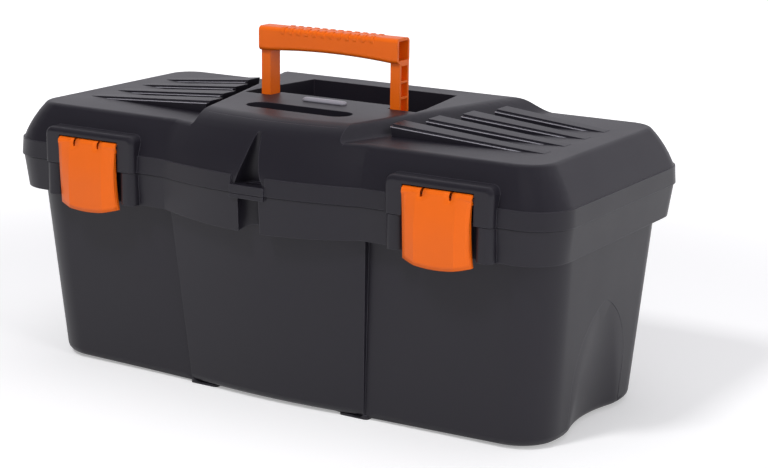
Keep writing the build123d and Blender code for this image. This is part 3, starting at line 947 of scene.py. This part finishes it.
@dataclass(frozen=True)
class LatchFace(Overlay):
    """Face of one latch: a shallow belly, sides that fall back towards the foot, and a rounded brow."""

    middle_x: float = 0.0
    half_width: float = 28.6 * MILLIMETRE
    flat_half: float = 16.5 * MILLIMETRE
    waist: float = 1.3 * MILLIMETRE
    foot_z: float = 137.4 * MILLIMETRE
    foot_arch: float = 4.0 * MILLIMETRE
    slit_z: float = 189.0 * MILLIMETRE
    bar_y: float = -119.8 * MILLIMETRE
    bar_z: float = 191.0 * MILLIMETRE
    brow_radius: float = 4.1 * MILLIMETRE
    brow_turn: float = math.radians(78)
    brow_steps: int = 5
    face_steps: int = 14
    flare: float = 1.6 * MILLIMETRE
    belly: float = 1.6 * MILLIMETRE
    belly_ease: float = 1.4
    top_fall: float = 0.5 * MILLIMETRE
    foot_fall: float = 4.9 * MILLIMETRE
    thickness: float = 1.3 * MILLIMETRE
    slit_half: float = 1.0 * MILLIMETRE
    slit_x: float = 11.8 * MILLIMETRE
    side_steps: int = 3
    seam_slack: float = 0.001

    def columns(self) -> list[float]:
        """Places of the grid's upright lines, from the middle of the latch.

        Returns:
            The places from left to right, with a line on each edge of the flat face and of the slits.
        """
        slit = (self.slit_x - self.slit_half, self.slit_x + self.slit_half)
        side = (self.half_width - self.flat_half) / self.side_steps
        falling = [self.flat_half + side * step for step in range(self.side_steps + 1)]
        right = [slit[0] / 2, *slit, *falling]
        return [-x for x in reversed(right)] + [0.0] + right

    def point(self, column: float, level: int) -> Vector:
        """One point of the face.

        Args:
            column: Place of the upright line at the latch's full width.
            level: Row of the grid, counted from the foot.

        Returns:
            The point.
        """
        foot = self.foot_z + self.foot_arch * (column / self.half_width) ** 2
        turn = 0.0
        if level < self.face_steps:
            z = foot + (self.slit_z - foot) * level / (self.face_steps - 1)
        else:
            turn = self.brow_turn * (level - self.face_steps) / self.brow_steps
            z = self.bar_z + self.brow_radius * math.sin(turn)
        low = max(0.0, (self.bar_z - z) / (self.bar_z - self.foot_z))
        swing = 1 - (2 * low - 1) ** 2
        beyond = max(0.0, abs(column) - self.flat_half) / (self.half_width - self.flat_half)
        x = column - math.copysign(self.waist * swing * beyond, column)
        fall = (self.top_fall + (self.foot_fall - self.top_fall) * low) * beyond
        y = self.bar_y - self.brow_radius * math.cos(turn) - self.flare * low + fall
        y -= self.belly * swing**self.belly_ease
        return Vector((self.middle_x + x, y, z))

    def shape(self, form: bmesh.types.BMesh) -> None:
        """Lay the grid of the face, without the two slits in its brow."""
        columns = self.columns()
        levels = range(self.face_steps + self.brow_steps + 1)
        grid = [[form.verts.new(self.point(column, level)) for level in levels] for column in columns]
        for index, (left, right) in enumerate(zip(grid, grid[1:])):
            middle = (columns[index] + columns[index + 1]) / 2
            slit = abs(abs(middle) - self.slit_x) < self.slit_half
            for level in levels[:-1]:
                if slit and level >= self.face_steps - 1:
                    continue
                form.faces.new((left[level], right[level], right[level + 1], left[level + 1]))

    def turn_out(self, form: bmesh.types.BMesh) -> None:
        """Turn the faces of the open face to the front, and crease it where its sides begin to fall."""
        form.normal_update()
        inward = [face for face in form.faces if face.normal.y > 0]
        bmesh.ops.reverse_faces(form, faces=inward)
        for edge in form.edges:
            edge.smooth = not self.on_facet(edge)

    def on_facet(self, edge: bmesh.types.BMEdge) -> bool:
        """Tell whether an edge lies between the flat face and a falling side.

        Args:
            edge: Edge of the drawn mesh.

        Returns:
            Whether both its ends lie on the line between them.
        """
        reach = [abs(abs(end.co.x - self.middle_x) - self.flat_half) for end in edge.verts]
        return max(reach) < self.flat_half * self.seam_slack

    def trim(self, piece: bpy.types.Object) -> None:
        """Give the face its thickness, towards the back."""
        self.thicken(piece, self.thickness)


OVERLAYS: tuple[Overlay, ...] = (
    LatchFace("latch_face_left", Body.LATCH_LEFT, Slot.ORANGE, middle_x=-LATCH_X),
    LatchFace("latch_face_right", Body.LATCH_RIGHT, Slot.ORANGE, middle_x=LATCH_X),
    EndScoop("end_scoop_right", Body.BASE, Slot.BODY, side=1),
    EndScoop("end_scoop_left", Body.BASE, Slot.BODY, side=-1),
    # The fins and the deck bar carry the pale painted highlight.
    LouvreFins("louvre_fins", Body.LID, Slot.BODY, smooth=False, highlighted=True),
    DeckBar("deck_bar", Body.LID, Slot.BODY, highlighted=True),
)


@dataclass(frozen=True)
class Softbox:
    """A soft rectangular lamp that looks at a point, and may show in glossy surfaces.

    Lengths are in metres and power in watts.
    """

    name: str
    place: Point
    target: Point
    width: float
    height: float
    power: float
    reflected: bool = False

    def build(self) -> None:
        """Add the lamp to the scene."""
        lamp = bpy.data.lights.new(self.name, "AREA")
        lamp.shape = "RECTANGLE"
        lamp.size = self.width
        lamp.size_y = self.height
        lamp.energy = self.power
        holder = bpy.data.objects.new(self.name, lamp)
        holder.location = self.place
        aim = Vector(self.target) - Vector(self.place)
        holder.rotation_euler = aim.to_track_quat("-Z", "Y").to_euler()
        holder.visible_glossy = self.reflected
        bpy.context.scene.collection.objects.link(holder)


@dataclass
class Studio:
    """Camera, lamps, sky and floor.

    Lengths are in metres, apart from the lens and its sensor in millimetres.
    """

    lens: float = 90.7
    sensor: float = 36.0
    yaw: float = math.radians(31.384)
    pitch: float = math.radians(13.887)
    roll: float = math.radians(0.741)
    distance: float = 1.5402
    target: Point = (0.04141, 0.0, 0.12179)
    floor_size: float = 12.0
    floor_colour: Colour = (235, 235, 236)
    floor_near: float = 0.32
    floor_far: float = 0.8
    floor_fade: tuple[float, float] = (0.45, 1.2)
    sky_colour: Colour = (250, 248, 255)
    sky_light: float = 0.35
    sky_front: float = 0.12
    sky_back: float = 0.95
    sky_span: tuple[float, float] = (-0.6, 0.8)
    lamps: tuple[Softbox, ...] = (
        Softbox("overhead_softbox", (0.2, 0.3, 2.2), (0, 0, 0.1), 1.6, 1.2, 7.0),
        Softbox("key_softbox", (-0.2, -1.45, 2.0), (0, 0, 0.1), 0.35, 0.35, 21.5),
        Softbox("front_fill", (1.3, -2.0, 1.2), (0.1, 0, 0.1), 1.0, 0.8, 3.0),
        Softbox("right_fill", (2.0, -0.6, 0.7), (0.1, 0, 0.15), 0.8, 0.8, 13.0),
        Softbox("front_panel", (0.25, -1.6, 1.75), (0.1, 0, 0.15), 1.1, 0.9, 2.4, reflected=True),
        Softbox("right_strip", (1.5, -0.7, 1.6), (0.2, 0, 0.1), 0.3, 1.0, 0.8, reflected=True),
    )

    def build(self) -> None:
        """Set up everything that isn't part of the object."""
        self.add_camera()
        self.light_world()
        self.lay_floor()
        for lamp in self.lamps:
            lamp.build()
        bpy.context.scene.view_settings.view_transform = "Standard"

    def add_camera(self) -> None:
        """Place the camera at the photograph's viewing angle."""
        level = math.cos(self.pitch)
        forward = Vector((-math.sin(self.yaw) * level, math.cos(self.yaw) * level, -math.sin(self.pitch)))
        turn = (-forward).to_track_quat("Z", "Y").to_matrix().to_4x4()
        data = bpy.data.cameras.new("photo_camera")
        data.lens = self.lens
        data.sensor_width = self.sensor
        camera = bpy.data.objects.new("photo_camera", data)
        place = Vector(self.target) - forward * self.distance
        camera.matrix_world = Matrix.Translation(place) @ turn @ Matrix.Rotation(self.roll, 4, "Z")
        bpy.context.scene.collection.objects.link(camera)
        bpy.context.scene.camera = camera

    def light_world(self) -> None:
        """Even soft light, and a sky that shows brighter behind the box than in front of it."""
        world = bpy.data.worlds.new("studio_world")
        world.use_nodes = True
        graph = Graph(world.node_tree)
        way = graph.add("ShaderNodeTexCoord").outputs["Generated"]
        axes = graph.add("ShaderNodeSeparateXYZ")
        graph.feed(axes, Vector=way)
        depth = graph.add("ShaderNodeMapRange", interpolation_type="SMOOTHSTEP")
        front, back = self.sky_span
        graph.feed(depth, Value=axes.outputs["Y"], From_Min=front, From_Max=back)
        graph.feed(depth, To_Min=self.sky_front, To_Max=self.sky_back)
        strength = graph.add("ShaderNodeMix")
        graph.feed(strength, Factor=graph.seen(), A=self.sky_light, B=depth.outputs["Result"])
        sky = graph.add("ShaderNodeBackground")
        graph.feed(sky, Color=paint(self.sky_colour), Strength=strength.outputs["Result"])
        graph.feed(graph.add("ShaderNodeOutputWorld"), Surface=sky.outputs["Background"])
        bpy.context.scene.world = world

    def lay_floor(self) -> None:
        """Pale floor that shows white to the camera and in reflections, and keeps the shadow."""
        bpy.ops.mesh.primitive_plane_add(size=self.floor_size, location=(0, 0, 0))
        floor = bpy.context.object
        floor.name = "studio_floor"
        material = bpy.data.materials.new("studio_floor")
        material.use_nodes = True
        graph = Graph(material.node_tree)
        matt = graph.feed(graph.add("ShaderNodeBsdfDiffuse"), Color=paint(self.floor_colour))
        reach = graph.add("ShaderNodeVectorMath", operation="LENGTH")
        graph.feed(reach, Vector=graph.add("ShaderNodeTexCoord").outputs["Object"])
        fade = graph.add("ShaderNodeMapRange", interpolation_type="SMOOTHSTEP")
        near, far = self.floor_fade
        graph.feed(fade, Value=reach.outputs["Value"], From_Min=near, From_Max=far)
        graph.feed(fade, To_Min=self.floor_near, To_Max=self.floor_far)
        glow = graph.add("ShaderNodeEmission")
        graph.feed(glow, Color=WHITE)
        graph.feed(glow, Strength=graph.math("MULTIPLY", graph.seen(), fade.outputs["Result"]))
        both = graph.add("ShaderNodeAddShader")
        graph.put(both.inputs[0], matt.outputs["BSDF"])
        graph.put(both.inputs[1], glow.outputs["Emission"])
        graph.feed(graph.add("ShaderNodeOutputMaterial"), Surface=both.outputs["Shader"])
        floor.data.materials.append(material)


def main() -> None:
    """Load the frame, dress the pieces and build the studio."""
    logging.basicConfig(level=logging.INFO, format="%(name)s: %(message)s")
    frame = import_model()
    Dresser(frame, SoftShading()).dress()
    Studio().build()


if __name__ == "__main__":
    main()
